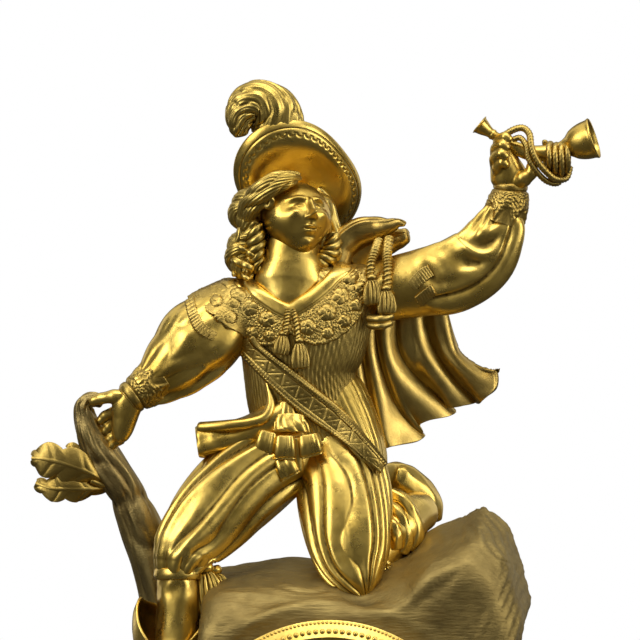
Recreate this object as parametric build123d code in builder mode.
from build123d import *
import math
import os

# Figural mantel clock in gilt bronze: a kneeling horn player on a hollow rocky case that holds
# a round eight-day movement behind a beaded bezel, on a moulded plinth with four scroll feet.
# Millimetres, +Z up, the dial faces -Y, and the origin is the centre of the footprint.

# Driving dimensions
figure_height = 225.0  # from the ground under the bent knee to the curl of the plume
knee_ground_z = 198.0  # height of that ground above the table
dial_x = 4.0  # the dial axis stands a little right of the footprint's centre
dial_z = 122.4
bezel_radius = 67.5
dial_radius = 50.0
plinth_width = 270.0
plinth_depth = 126.0
foot_height = 15.0
plinth_height = 19.0
case_width = 210.0
case_height = 183.0
case_depth = 98.0

# Shared clearances
cut_overrun = 2.0  # how far a cutting tool runs past what it cuts
running_gap = 0.06  # radial clearance of an arbor in its hole
end_shake = 0.25  # play of an arbor between the plates

plinth_z = foot_height
case_z = plinth_z + plinth_height
case_front_y = -case_depth / 2
case_back_y = case_depth / 2


def figure_point(share):
    """A point of the figure, from its shares across, in depth and in height of the figure."""
    across, depth, height = share
    return Vector(
        across * figure_height, depth * figure_height, knee_ground_z + height * figure_height
    )


def oval_face(plane, half_breadth, half_depth):
    """An oval face on a plane, as four arcs that each turn it a quarter."""
    with BuildSketch(plane) as oval:
        with BuildLine():
            for quarter in range(4):
                ThreePointArc(
                    *[
                        (half_breadth * math.cos(turn), half_depth * math.sin(turn))
                        for turn in [(quarter + step / 2) * math.pi / 2 for step in range(3)]
                    ]
                )
        make_face()
    return oval.sketch


def between(stations, i):
    """The station half way from station i to the next, on a smooth curve through them all."""
    last = len(stations) - 1
    before, start, end, after = (
        stations[min(max(k, 0), last)] for k in (i - 1, i, i + 1, i + 2)
    )
    return tuple((9 * (b + c) - a - d) / 16 for a, b, c, d in zip(before, start, end, after))


def limb(stations, depth_axis=(0, 1, 0)):
    """A closed form lofted through ovals.

    Each station is (across, depth, height, half breadth, half depth), all shares of the figure's
    height. One more oval goes between each two, and all stand square to the line of centres.
    """
    ovals = []
    for i, station in enumerate(stations[:-1]):
        ovals += [station, between(stations, i)]
    ovals.append(stations[-1])
    centres = [figure_point(oval[:3]) for oval in ovals]
    reference = Vector(*depth_axis)
    last = len(centres) - 1
    with BuildPart() as form:
        faces = []
        for i, oval in enumerate(ovals):
            along = (centres[min(i + 1, last)] - centres[max(i - 1, 0)]).normalized()
            breadth_axis = reference.cross(along).normalized()
            plane = Plane(origin=centres[i], x_dir=breadth_axis, z_dir=along)
            faces.append(oval_face(plane, oval[3] * figure_height, oval[4] * figure_height))
        loft(sections=faces, ruled=True)
    return form.part


def grown(stations, growth):
    """The same stations with every oval larger by a real width."""
    share = growth / figure_height
    return [(*station[:3], station[3] + share, station[4] + share) for station in stations]


def outline_slab(shares, depth):
    """A slab through the figure, cut to a closed outline in the front view."""
    points = [figure_point((across, 0, height)) for across, height in shares]
    with BuildPart() as slab:
        with BuildSketch(Plane.XZ):
            with BuildLine():
                Polyline(*[(point.X, point.Z) for point in points], close=True)
            make_face()
        extrude(amount=depth, both=True)
    return slab.part


def largest(part):
    """The largest solid of a part, without the crumbs that a cut leaves."""
    return Part([part.solids().sort_by(SortBy.VOLUME)[-1]])


os.makedirs("parts", exist_ok=True)

# Plinth: a moulded frame, open below, on four scroll feet
plinth_window_width = 168.0
plinth_window_depth = 76.0
plinth_corner = 24.0
plinth_step = 5.0
plinth_rim_height = 5.0
plinth_edge = 1.6
plinth_neck_height = 7.0

with BuildPart() as plinth:
    with BuildSketch(Plane.XY.offset(plinth_z)):
        RectangleRounded(plinth_width, plinth_depth, plinth_corner)
    extrude(amount=plinth_rim_height)
    with BuildSketch(Plane.XY.offset(plinth_z + plinth_rim_height)):
        RectangleRounded(
            plinth_width - 2 * plinth_step, plinth_depth - 2 * plinth_step, plinth_corner - plinth_step
        )
    extrude(amount=plinth_neck_height)
    with BuildSketch(Plane.XY.offset(plinth_z + plinth_rim_height + plinth_neck_height)):
        RectangleRounded(
            plinth_width - plinth_step, plinth_depth - plinth_step, plinth_corner - plinth_step / 2
        )
    extrude(amount=plinth_height - plinth_rim_height - plinth_neck_height)
    rim_edges = plinth.edges().filter_by(Plane.XY)
    fillet(rim_edges.group_by(Axis.Z)[-1], radius=plinth_edge)
    with BuildSketch(Plane.XY.offset(plinth_z - cut_overrun)):
        RectangleRounded(plinth_window_width, plinth_window_depth, plinth_corner / 2)
    extrude(amount=plinth_height + 2 * cut_overrun, mode=Mode.SUBTRACT)

# Feet: each a scroll that turns outwards, with a tongue along the plinth
foot_width = 24.0
foot_inset = 6.0
foot_radius = 9.0
foot_flat = 1.0
foot_tongue_length = 34.0
foot_tongue_height = 6.0

with BuildPart() as scroll_feet:
    foot_x = plinth_width / 2 - foot_inset - foot_radius
    foot_y = plinth_depth / 2 - foot_inset
    scroll_z = foot_radius - foot_flat
    for side in (-1, 1):
        for face_side in (-1, 1):
            with BuildSketch(Plane.XZ.offset(-face_side * foot_y)):
                with Locations((side * foot_x, scroll_z)):
                    Circle(foot_radius)
                with BuildLine():
                    Polyline(
                        (side * foot_x, foot_height - foot_tongue_height),
                        (side * (foot_x - foot_tongue_length), foot_height - foot_flat),
                        (side * (foot_x - foot_tongue_length), foot_height),
                        (side * foot_x, foot_height),
                        close=True,
                    )
                make_face()
            extrude(amount=face_side * foot_width)
    split(bisect_by=Plane.XY, keep=Keep.TOP)
    split(bisect_by=Plane.XY.offset(foot_height), keep=Keep.BOTTOM)

# Case: a hollow rock with a boss at the right, a shelf for the foot at the left
case_outline_shares = [
    (-0.545, 0.0),
    (-0.565, 0.16),
    (-0.525, 0.36),
    (-0.500, 0.50),
    (-0.420, 0.575),
    (-0.350, 0.70),
    (-0.305, 0.88),
    (-0.235, 0.98),
    (-0.08, 1.000),
    (0.08, 0.998),
    (0.20, 1.005),
    (0.285, 1.075),
    (0.350, 1.130),
    (0.405, 1.080),
    (0.435, 0.98),
    (0.455, 0.90),
    (0.425, 0.80),
    (0.395, 0.68),
    (0.400, 0.50),
    (0.450, 0.30),
    (0.530, 0.12),
    (0.545, 0.0),
]
case_station_shares = [
    (-0.5, 0.900, 0.868),
    (-0.38, 0.970, 0.930),
    (0.0, 1.0, 1.0),
    (0.36, 0.965, 0.985),
    (0.5, 0.880, 0.90),
]
case_bore_radius = 49.5
core_radius = 50.5
core_depth = 80.0
core_half_width = 82.0
core_top_z = 112.0
shelf_z = 130.5
shelf_right = -51.0
shelf_back = 2.0
shelf_slope = 5.0


def case_outline(depth_share, width_scale, height_scale):
    """The rock's outline in the front view, at one depth."""
    with BuildSketch(Plane.XZ.offset(-depth_share * case_depth)) as outline:
        points = [
            (
                across * case_width * width_scale,
                case_z + height * case_height * height_scale,
            )
            for across, height in case_outline_shares
        ]
        with BuildLine():
            Polyline(*points, close=True)
        make_face()
    return outline.sketch


def case_core():
    """The hollow inside the rock: a round chamber for the drum above a wide well."""
    with BuildPart() as core:
        with BuildSketch(Plane.XZ.offset(-core_depth / 2)):
            with Locations((dial_x, dial_z)):
                Circle(core_radius)
            with BuildLine():
                Polyline(
                    (-core_half_width, case_z - cut_overrun),
                    (core_half_width, case_z - cut_overrun),
                    (core_half_width, core_top_z),
                    (-core_half_width, core_top_z),
                    close=True,
                )
            make_face()
        extrude(amount=core_depth)
    return core.part


def foot_niche():
    """The space over the shelf, open to the front and the left, where the right boot stands."""
    with BuildPart() as niche:
        with BuildSketch(Plane.XY.offset(shelf_z)):
            with BuildLine():
                Polyline(
                    (shelf_right, shelf_back),
                    (shelf_right - shelf_slope, case_front_y - cut_overrun),
                    (-case_width, case_front_y - cut_overrun),
                    (-case_width, shelf_back),
                    close=True,
                )
            make_face()
        extrude(amount=case_height)
    return niche.part


with BuildPart() as rock_case:
    loft(sections=[case_outline(*station) for station in case_station_shares], ruled=True)
    add(case_core(), mode=Mode.SUBTRACT)
    add(foot_niche(), mode=Mode.SUBTRACT)
    with BuildSketch(Plane.XZ.offset(-case_front_y + cut_overrun)):
        with Locations((dial_x, dial_z)):
            Circle(case_bore_radius)
    extrude(amount=-case_depth - 2 * cut_overrun, mode=Mode.SUBTRACT)

rock_part = largest(rock_case.part)

# Tree stem that the right hand leans on, and its oak leaves
branch_shares = [
    (-0.290, 0.040, -0.110, 0.050, 0.050),
    (-0.306, 0.030, 0.010, 0.046, 0.046),
    (-0.340, 0.014, 0.130, 0.042, 0.040),
    (-0.400, 0.000, 0.260, 0.034, 0.032),
    (-0.450, -0.008, 0.350, 0.026, 0.024),
]
branch_tip_shares = [
    (-0.446, -0.008, 0.340, 0.024, 0.022),
    (-0.462, -0.010, 0.376, 0.022, 0.020),
    (-0.450, -0.012, 0.398, 0.018, 0.018),
    (-0.428, -0.014, 0.398, 0.012, 0.014),
]
leaf_upper_shares = [
    (-0.380, 0.226),
    (-0.430, 0.244),
    (-0.462, 0.290),
    (-0.478, 0.276),
    (-0.512, 0.314),
    (-0.526, 0.290),
    (-0.562, 0.302),
    (-0.568, 0.272),
    (-0.540, 0.250),
    (-0.548, 0.234),
    (-0.500, 0.222),
]
leaf_lower_shares = [
    (-0.380, 0.222),
    (-0.450, 0.236),
    (-0.500, 0.240),
    (-0.512, 0.226),
    (-0.540, 0.242),
    (-0.566, 0.236),
    (-0.556, 0.206),
    (-0.526, 0.200),
    (-0.506, 0.212),
    (-0.488, 0.200),
    (-0.450, 0.218),
]
leaf_thickness = 2.4
leaf_upper_y = -6.5
leaf_lower_y = -2.0


def leaf(shares, leaf_y):
    """A flat leaf cut to a lobed outline, at one depth."""
    points = [figure_point((across, 0, height)) for across, height in shares]
    with BuildPart() as blade:
        with BuildSketch(Plane.XZ.offset(-leaf_y)):
            with BuildLine():
                Polyline(*[(point.X, point.Z) for point in points], close=True)
            make_face()
        extrude(amount=leaf_thickness)
    return blade.part


with BuildPart() as oak_branch:
    add(limb(branch_shares))
    add(limb(branch_tip_shares))
    add(rock_part, mode=Mode.SUBTRACT)
branch_part = largest(oak_branch.part)

with BuildPart() as oak_leaves:
    add(leaf(leaf_upper_shares, leaf_upper_y))
    add(leaf(leaf_lower_shares, leaf_lower_y))
    add(branch_part, mode=Mode.SUBTRACT)

# Figure: doublet, head and hat
doublet_shares = [
    (0.006, 0.000, 0.236, 0.070, 0.052),
    (-0.002, 0.000, 0.290, 0.088, 0.060),
    (-0.012, 0.000, 0.345, 0.092, 0.061),
    (-0.022, -0.002, 0.400, 0.094, 0.060),
    (-0.034, -0.006, 0.470, 0.102, 0.066),
    (-0.034, -0.008, 0.540, 0.138, 0.070),
    (-0.040, -0.006, 0.590, 0.164, 0.064),
    (-0.040, -0.004, 0.620, 0.152, 0.056),
    (-0.044, 0.000, 0.648, 0.104, 0.048),
    (-0.046, 0.000, 0.664, 0.056, 0.040),
]
head_shares = [
    (-0.044, 0.000, 0.610, 0.042, 0.040),
    (-0.044, -0.002, 0.660, 0.040, 0.040),
    (-0.036, -0.018, 0.694, 0.048, 0.056),
    (-0.034, -0.022, 0.728, 0.060, 0.072),
    (-0.036, -0.010, 0.770, 0.064, 0.076),
    (-0.042, 0.010, 0.810, 0.060, 0.068),
    (-0.050, 0.028, 0.842, 0.034, 0.038),
]
hat_centre_shares = (-0.040, 0.026, 0.838)
hat_axis = Vector(-0.22, 0.84, 0.50)
brim_radius = 30.0
brim_thickness = 1.6
brim_dish = 4.5
brim_wave_share = 0.72
brim_drop_share = 0.6
crown_shoulder_shares = (0.86, 0.7)
crown_radius = 15.5
crown_height = 15.0
plume_shares = [
    (-0.078, -0.018, 0.920, 0.024, 0.022),
    (-0.084, -0.010, 0.966, 0.036, 0.030),
    (-0.112, -0.008, 1.000, 0.040, 0.034),
    (-0.144, -0.012, 0.996, 0.032, 0.030),
    (-0.164, -0.016, 0.966, 0.022, 0.022),
    (-0.164, -0.018, 0.936, 0.012, 0.012),
]
hair_left_shares = [
    (-0.064, -0.052, 0.836, 0.014, 0.014),
    (-0.112, -0.044, 0.818, 0.026, 0.024),
    (-0.142, -0.030, 0.774, 0.026, 0.026),
    (-0.140, -0.026, 0.728, 0.026, 0.026),
    (-0.150, -0.026, 0.684, 0.024, 0.024),
    (-0.134, -0.030, 0.650, 0.012, 0.012),
]
hair_inner_shares = [
    (-0.098, 0.000, 0.800, 0.024, 0.036),
    (-0.106, 0.000, 0.740, 0.026, 0.036),
    (-0.104, -0.006, 0.690, 0.024, 0.030),
    (-0.106, -0.010, 0.656, 0.014, 0.016),
]
hair_right_shares = [
    (0.026, 0.010, 0.780, 0.014, 0.030),
    (0.034, 0.004, 0.730, 0.018, 0.032),
    (0.024, -0.004, 0.690, 0.020, 0.028),
    (0.004, -0.010, 0.660, 0.012, 0.016),
]


def hat_plane():
    """The plane of the hat's brim, whose X axis stays level across the figure."""
    level = Vector(1, 0, 0)
    axis = hat_axis.normalized()
    return Plane(
        origin=figure_point(hat_centre_shares), x_dir=(level - axis * level.dot(axis)), z_dir=axis
    )


def hat_form():
    """A dished brim and a round crown, turned about the hat's own axis."""
    brim_plane = hat_plane()
    profile_plane = Plane(
        origin=brim_plane.origin, x_dir=brim_plane.x_dir, z_dir=-brim_plane.y_dir
    )
    with BuildPart() as hat:
        with BuildSketch(profile_plane):
            with BuildLine():
                outer = Spline(
                    (crown_radius - brim_thickness, 0),
                    (brim_radius * brim_wave_share, -brim_dish * brim_drop_share),
                    (brim_radius, brim_dish),
                )
                rim = Line(outer @ 1, (brim_radius, brim_dish + brim_thickness))
                inner = Spline(
                    rim @ 1,
                    (brim_radius * brim_wave_share, brim_thickness - brim_dish * brim_drop_share),
                    (crown_radius, brim_thickness),
                )
                crown = Spline(
                    inner @ 1,
                    (
                        crown_radius * crown_shoulder_shares[0],
                        crown_height * crown_shoulder_shares[1],
                    ),
                    (0, crown_height),
                    tangents=((0, 1), (-1, 0)),
                )
                Polyline(crown @ 1, (0, 0), outer @ 0)
            make_face()
        revolve(axis=Axis(brim_plane.origin, brim_plane.z_dir))
    return hat.part


with BuildPart() as doublet:
    add(limb(doublet_shares))
doublet_part = doublet.part

with BuildPart() as head:
    add(limb(head_shares))
    add(doublet_part, mode=Mode.SUBTRACT)
head_part = largest(head.part)

with BuildPart() as hat:
    add(hat_form())
    add(head_part, mode=Mode.SUBTRACT)
hat_part = largest(hat.part)

with BuildPart() as plume:
    add(limb(plume_shares))
    add(hat_part, mode=Mode.SUBTRACT)
plume_part = largest(plume.part)

with BuildPart() as hair:
    add(limb(hair_left_shares))
    add(limb(hair_inner_shares))
    add(limb(hair_right_shares))
    add(head_part, mode=Mode.SUBTRACT)
    add(hat_part, mode=Mode.SUBTRACT)
    add(doublet_part, mode=Mode.SUBTRACT)

# Figure: breeches, stocking and boots
right_breeches_shares = [
    (-0.030, 0.000, 0.330, 0.066, 0.056),
    (-0.080, -0.012, 0.292, 0.084, 0.066),
    (-0.134, -0.030, 0.248, 0.090, 0.072),
    (-0.190, -0.052, 0.196, 0.084, 0.070),
    (-0.236, -0.074, 0.148, 0.074, 0.064),
    (-0.270, -0.090, 0.104, 0.062, 0.058),
    (-0.276, -0.094, 0.070, 0.048, 0.048),
    (-0.275, -0.094, 0.052, 0.042, 0.042),
]
left_breeches_shares = [
    (0.028, 0.000, 0.320, 0.076, 0.058),
    (0.048, -0.018, 0.256, 0.082, 0.066),
    (0.062, -0.040, 0.190, 0.076, 0.066),
    (0.074, -0.062, 0.122, 0.062, 0.058),
    (0.086, -0.082, 0.058, 0.042, 0.044),
    (0.092, -0.094, 0.020, 0.022, 0.026),
    (0.093, -0.098, 0.004, 0.008, 0.010),
]
right_stocking_shares = [
    (-0.275, -0.094, 0.070, 0.038, 0.038),
    (-0.274, -0.094, 0.030, 0.038, 0.038),
    (-0.278, -0.094, -0.030, 0.036, 0.036),
]
right_cuff_shares = [
    (-0.272, -0.094, 0.000, 0.042, 0.042),
    (-0.284, -0.094, -0.040, 0.054, 0.050),
    (-0.300, -0.094, -0.088, 0.070, 0.060),
    (-0.304, -0.094, -0.106, 0.066, 0.058),
]
right_shaft_shares = [
    (-0.296, -0.094, -0.090, 0.050, 0.046),
    (-0.312, -0.092, -0.160, 0.042, 0.042),
    (-0.322, -0.086, -0.230, 0.036, 0.040),
    (-0.326, -0.084, -0.290, 0.040, 0.048),
    (-0.326, -0.084, -0.312, 0.036, 0.044),
]
right_foot_shares = [
    (-0.318, -0.050, -0.270, 0.034, 0.032),
    (-0.330, -0.100, -0.264, 0.038, 0.038),
    (-0.348, -0.156, -0.276, 0.036, 0.028),
    (-0.362, -0.200, -0.284, 0.022, 0.018),
]
left_shin_shares = [
    (0.080, -0.062, 0.060, 0.036, 0.036),
    (0.120, -0.010, 0.104, 0.048, 0.044),
    (0.150, 0.030, 0.140, 0.056, 0.052),
    (0.172, 0.060, 0.158, 0.066, 0.060),
]
left_boot_shares = [
    (0.164, 0.050, 0.150, 0.044, 0.042),
    (0.190, 0.090, 0.164, 0.042, 0.040),
    (0.216, 0.130, 0.160, 0.034, 0.036),
    (0.236, 0.160, 0.140, 0.026, 0.030),
]
along_depth_up = (0, 0, 1)

with BuildPart() as right_breeches:
    add(limb(right_breeches_shares))
    add(doublet_part, mode=Mode.SUBTRACT)
    add(rock_part, mode=Mode.SUBTRACT)
    add(branch_part, mode=Mode.SUBTRACT)
right_breeches_part = largest(right_breeches.part)

with BuildPart() as left_breeches:
    add(limb(left_breeches_shares))
    add(doublet_part, mode=Mode.SUBTRACT)
    add(right_breeches_part, mode=Mode.SUBTRACT)
    add(rock_part, mode=Mode.SUBTRACT)
left_breeches_part = largest(left_breeches.part)

with BuildPart() as right_boot:
    add(limb(right_cuff_shares))
    add(limb(right_shaft_shares))
    add(limb(right_foot_shares, along_depth_up))
    add(limb(right_stocking_shares))
    split(bisect_by=Plane.XY.offset(shelf_z), keep=Keep.TOP)
    add(right_breeches_part, mode=Mode.SUBTRACT)
    add(rock_part, mode=Mode.SUBTRACT)
    add(branch_part, mode=Mode.SUBTRACT)
right_boot_part = largest(right_boot.part)

with BuildPart() as left_boot:
    add(limb(left_shin_shares, along_depth_up))
    add(limb(left_boot_shares, along_depth_up))
    add(left_breeches_part, mode=Mode.SUBTRACT)
    add(rock_part, mode=Mode.SUBTRACT)
left_boot_part = largest(left_boot.part)

# Figure: sleeves, cuffs and hands
right_sleeve_shares = [
    (-0.140, -0.004, 0.600, 0.056, 0.054),
    (-0.190, -0.010, 0.570, 0.068, 0.064),
    (-0.250, -0.024, 0.520, 0.076, 0.070),
    (-0.305, -0.036, 0.472, 0.060, 0.058),
    (-0.350, -0.044, 0.430, 0.036, 0.036),
    (-0.372, -0.048, 0.414, 0.028, 0.028),
]
right_wrist_shares = [
    (-0.352, -0.044, 0.428, 0.038, 0.038),
    (-0.380, -0.050, 0.408, 0.042, 0.040),
    (-0.392, -0.052, 0.399, 0.034, 0.032),
]
right_palm_shares = [
    (-0.376, -0.049, 0.410, 0.024, 0.022),
    (-0.404, -0.052, 0.388, 0.034, 0.022),
    (-0.418, -0.050, 0.352, 0.036, 0.020),
    (-0.414, -0.040, 0.326, 0.026, 0.016),
]
right_thumb_shares = [
    (-0.404, -0.046, 0.392, 0.014, 0.014),
    (-0.440, -0.034, 0.410, 0.012, 0.012),
    (-0.466, -0.016, 0.404, 0.009, 0.009),
]
left_sleeve_shares = [
    (0.100, 0.000, 0.598, 0.048, 0.052),
    (0.150, 0.000, 0.606, 0.054, 0.054),
    (0.200, -0.004, 0.622, 0.058, 0.056),
    (0.262, -0.010, 0.640, 0.070, 0.062),
    (0.318, -0.014, 0.674, 0.072, 0.062),
    (0.350, -0.018, 0.724, 0.058, 0.054),
    (0.364, -0.020, 0.776, 0.040, 0.040),
]
left_wrist_shares = [
    (0.360, -0.020, 0.762, 0.042, 0.042),
    (0.374, -0.022, 0.812, 0.042, 0.040),
    (0.378, -0.024, 0.836, 0.034, 0.032),
]
left_palm_shares = [
    (0.376, -0.023, 0.826, 0.024, 0.026),
    (0.384, -0.026, 0.862, 0.036, 0.034),
    (0.388, -0.030, 0.900, 0.038, 0.036),
    (0.386, -0.034, 0.928, 0.026, 0.026),
]

# Figure: ornaments that lie over the doublet
collar_thickness = 1.8
collar_outline_shares = [
    (-0.220, 0.600),
    (-0.150, 0.664),
    (-0.084, 0.672),
    (-0.050, 0.626),
    (-0.020, 0.640),
    (0.040, 0.672),
    (0.116, 0.620),
    (0.090, 0.540),
    (0.050, 0.500),
    (-0.020, 0.456),
    (-0.070, 0.456),
    (-0.116, 0.484),
    (-0.160, 0.530),
    (-0.210, 0.564),
]
sash_thickness = 2.2
sash_outline_shares = [
    (-0.190, 0.476),
    (-0.144, 0.534),
    (0.144, 0.300),
    (0.110, 0.236),
]
left_coat_shares = [
    (-0.040, -0.010, 0.384, 0.030, 0.050),
    (-0.090, -0.020, 0.372, 0.034, 0.056),
    (-0.160, -0.030, 0.350, 0.034, 0.056),
    (-0.220, -0.034, 0.334, 0.026, 0.048),
    (-0.244, -0.034, 0.328, 0.014, 0.040),
]
right_coat_shares = [
    (0.034, 0.004, 0.390, 0.050, 0.056),
    (0.074, 0.010, 0.336, 0.048, 0.054),
    (0.100, 0.016, 0.280, 0.040, 0.046),
    (0.112, 0.020, 0.244, 0.024, 0.030),
]
bow_shares = [
    (-0.106, -0.074, 0.300, 0.012, 0.010),
    (-0.070, -0.084, 0.306, 0.022, 0.016),
    (-0.024, -0.088, 0.310, 0.014, 0.014),
    (0.020, -0.084, 0.310, 0.022, 0.016),
    (0.054, -0.074, 0.306, 0.012, 0.010),
]
bow_tail_shares = [
    (-0.024, -0.070, 0.372, 0.036, 0.012),
    (-0.024, -0.080, 0.330, 0.024, 0.014),
    (-0.026, -0.088, 0.300, 0.020, 0.014),
    (-0.028, -0.088, 0.262, 0.034, 0.010),
]
left_collar_tassel_shares = [
    (-0.064, -0.080, 0.600, 0.008, 0.008),
    (-0.070, -0.088, 0.560, 0.008, 0.008),
    (-0.078, -0.088, 0.524, 0.010, 0.010),
    (-0.084, -0.086, 0.486, 0.016, 0.012),
]
right_collar_tassel_shares = [
    (-0.044, -0.080, 0.600, 0.008, 0.008),
    (-0.042, -0.088, 0.556, 0.008, 0.008),
    (-0.040, -0.088, 0.510, 0.010, 0.010),
    (-0.037, -0.086, 0.462, 0.016, 0.012),
]
shoulder_tassel_shares = [
    (0.082, -0.034, 0.662, 0.016, 0.014),
    (0.104, -0.054, 0.630, 0.024, 0.016),
    (0.116, -0.064, 0.584, 0.026, 0.018),
    (0.120, -0.068, 0.540, 0.030, 0.018),
    (0.120, -0.068, 0.504, 0.032, 0.014),
]

# Horn: a straight body from the mouthpiece, a flared bell, and a cord wound round it
horn_shares = [
    (0.318, -0.032, 0.950, 0.017, 0.017),
    (0.332, -0.032, 0.940, 0.012, 0.012),
    (0.360, -0.032, 0.920, 0.010, 0.010),
    (0.396, -0.034, 0.904, 0.012, 0.012),
    (0.426, -0.036, 0.900, 0.015, 0.015),
    (0.458, -0.038, 0.902, 0.015, 0.015),
    (0.490, -0.040, 0.904, 0.015, 0.015),
    (0.510, -0.043, 0.912, 0.022, 0.022),
    (0.532, -0.048, 0.924, 0.040, 0.040),
]
horn_mouth_shares = [
    (0.498, -0.040, 0.908, 0.010, 0.010),
    (0.512, -0.044, 0.915, 0.018, 0.018),
    (0.538, -0.050, 0.928, 0.038, 0.038),
]
horn_cord_start_share = (0.438, -0.0368, 0.9008)
horn_cord_end_share = (0.484, -0.0396, 0.9036)
horn_cord_turns = 4
horn_cord_radius = 1.05
horn_cord_gap = 0.35  # from the cord's inside to the horn


def wound_path():
    """The cord's middle line: half turns about the horn, and a straight end one diameter long.

    Each half turn is a half circle that leans along the horn, so the line advances steadily and
    keeps one direction where two half turns meet.
    """
    start = figure_point(horn_cord_start_share)
    end = figure_point(horn_cord_end_share)
    axis = (end - start).normalized()
    side = axis.cross(Vector(0, 0, 1)).normalized()
    up = side.cross(axis).normalized()
    widest = max(station[3] for station in horn_shares if station[0] < horn_cord_end_share[0])
    turn_radius = widest * figure_height + horn_cord_gap + horn_cord_radius
    half_turns = 2 * horn_cord_turns
    half_pitch = (end - start).length / half_turns
    joints = [
        start + axis * (half_pitch * i) + up * (turn_radius if i % 2 == 0 else -turn_radius)
        for i in range(half_turns + 1)
    ]
    points = []
    with BuildLine() as path:
        Line(joints[0] - side * (2 * horn_cord_radius), joints[0])
        for i in range(half_turns):
            middle = (joints[i] + joints[i + 1]) / 2
            reach = (joints[i + 1] - joints[i]).length / 2
            outward = side if i % 2 == 0 else -side
            turn = ThreePointArc(joints[i], middle + outward * reach, joints[i + 1])
            points += [turn @ (k / winding_steps) for k in range(winding_steps)]
        outward = side if half_turns % 2 == 0 else -side
        Line(joints[-1], joints[-1] + outward * (2 * horn_cord_radius))
    least = min(
        (a - b).length
        for i, a in enumerate(points)
        for b in points[i + winding_steps :]
    )
    print("horn cord: least gap between its turns", round(least - 2 * horn_cord_radius, 2))
    return path.wire()


winding_steps = 12  # places on each half turn where the gap to the next turn is measured

# Cloak: hangs behind the left shoulder in folds
cloak_thickness = 4.0
cloak_fold_depth = 4.5
cloak_folds = 5
cloak_station_shares = [
    (0.700, 0.050, 0.150, 0.064),
    (0.640, 0.050, 0.200, 0.078),
    (0.540, 0.054, 0.250, 0.086),
    (0.440, 0.060, 0.320, 0.094),
    (0.370, 0.090, 0.340, 0.100),
    (0.320, 0.120, 0.250, 0.100),
]
cloak_roll_shares = [
    (0.056, 0.046, 0.694, 0.026, 0.026),
    (0.090, 0.040, 0.732, 0.034, 0.028),
    (0.136, 0.036, 0.734, 0.034, 0.026),
    (0.166, 0.034, 0.700, 0.020, 0.018),
]


def cloak_section(height_share, left_share, right_share, depth_share):
    """A folded strip in plan, at one height of the cloak."""
    base = figure_point((left_share, depth_share, height_share))
    far = figure_point((right_share, depth_share, height_share))
    fold = (far.X - base.X) / cloak_folds
    with BuildSketch(Plane.XY.offset(base.Z)) as section:
        with BuildLine():
            for i in range(cloak_folds):
                bulge = cloak_fold_depth / 2 * (1 if i % 2 == 0 else -1)
                for y, way in ((base.Y, 1), (base.Y + cloak_thickness, -1)):
                    x = base.X + i * fold
                    ThreePointArc((x, y), (x + fold / 2, y + bulge), (x + fold, y))
            Line((base.X, base.Y), (base.X, base.Y + cloak_thickness))
            Line((far.X, far.Y), (far.X, far.Y + cloak_thickness))
        make_face()
    return section.sketch


# Figure: the pieces, each cut back to the faces of those that it meets
with BuildPart() as right_sleeve:
    add(limb(right_sleeve_shares))
    add(doublet_part, mode=Mode.SUBTRACT)
right_sleeve_part = largest(right_sleeve.part)

with BuildPart() as right_cuff:
    add(limb(right_wrist_shares))
    add(right_sleeve_part, mode=Mode.SUBTRACT)
right_cuff_part = largest(right_cuff.part)

with BuildPart() as right_hand:
    add(limb(right_palm_shares))
    add(limb(right_thumb_shares))
    add(right_sleeve_part, mode=Mode.SUBTRACT)
    add(right_cuff_part, mode=Mode.SUBTRACT)
    add(branch_part, mode=Mode.SUBTRACT)
right_hand_part = largest(right_hand.part)

with BuildPart() as left_sleeve:
    add(limb(left_sleeve_shares))
    add(doublet_part, mode=Mode.SUBTRACT)
left_sleeve_part = largest(left_sleeve.part)

with BuildPart() as left_cuff:
    add(limb(left_wrist_shares))
    add(left_sleeve_part, mode=Mode.SUBTRACT)
left_cuff_part = largest(left_cuff.part)

with BuildPart() as horn:
    add(limb(horn_shares))
    add(limb(horn_mouth_shares), mode=Mode.SUBTRACT)
horn_part = largest(horn.part)

with BuildPart() as horn_cord:
    cord_path = wound_path()
    with BuildSketch(Plane(origin=cord_path @ 0, z_dir=cord_path % 0)):
        Circle(horn_cord_radius)
    sweep(path=cord_path)
horn_cord_part = horn_cord.part
cord_volume = math.pi * horn_cord_radius**2 * cord_path.length
print("horn cord: volume over section times length", round(horn_cord_part.volume / cord_volume, 3))

with BuildPart() as left_hand:
    add(limb(left_palm_shares))
    add(left_cuff_part, mode=Mode.SUBTRACT)
    add(left_sleeve_part, mode=Mode.SUBTRACT)
    add(horn_part, mode=Mode.SUBTRACT)
left_hand_part = largest(left_hand.part)

with BuildPart() as coat_skirts:
    add(limb(left_coat_shares))
    add(limb(right_coat_shares))
    add(doublet_part, mode=Mode.SUBTRACT)
    add(right_breeches_part, mode=Mode.SUBTRACT)
    add(left_breeches_part, mode=Mode.SUBTRACT)

with BuildPart() as lace_collar:
    add(limb(grown(doublet_shares, collar_thickness)))
    add(doublet_part, mode=Mode.SUBTRACT)
    add(outline_slab(collar_outline_shares, figure_height), mode=Mode.INTERSECT)
    add(head_part, mode=Mode.SUBTRACT)
    add(hair.part, mode=Mode.SUBTRACT)
    add(right_sleeve_part, mode=Mode.SUBTRACT)
    add(left_sleeve_part, mode=Mode.SUBTRACT)
collar_part = largest(lace_collar.part)

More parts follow.
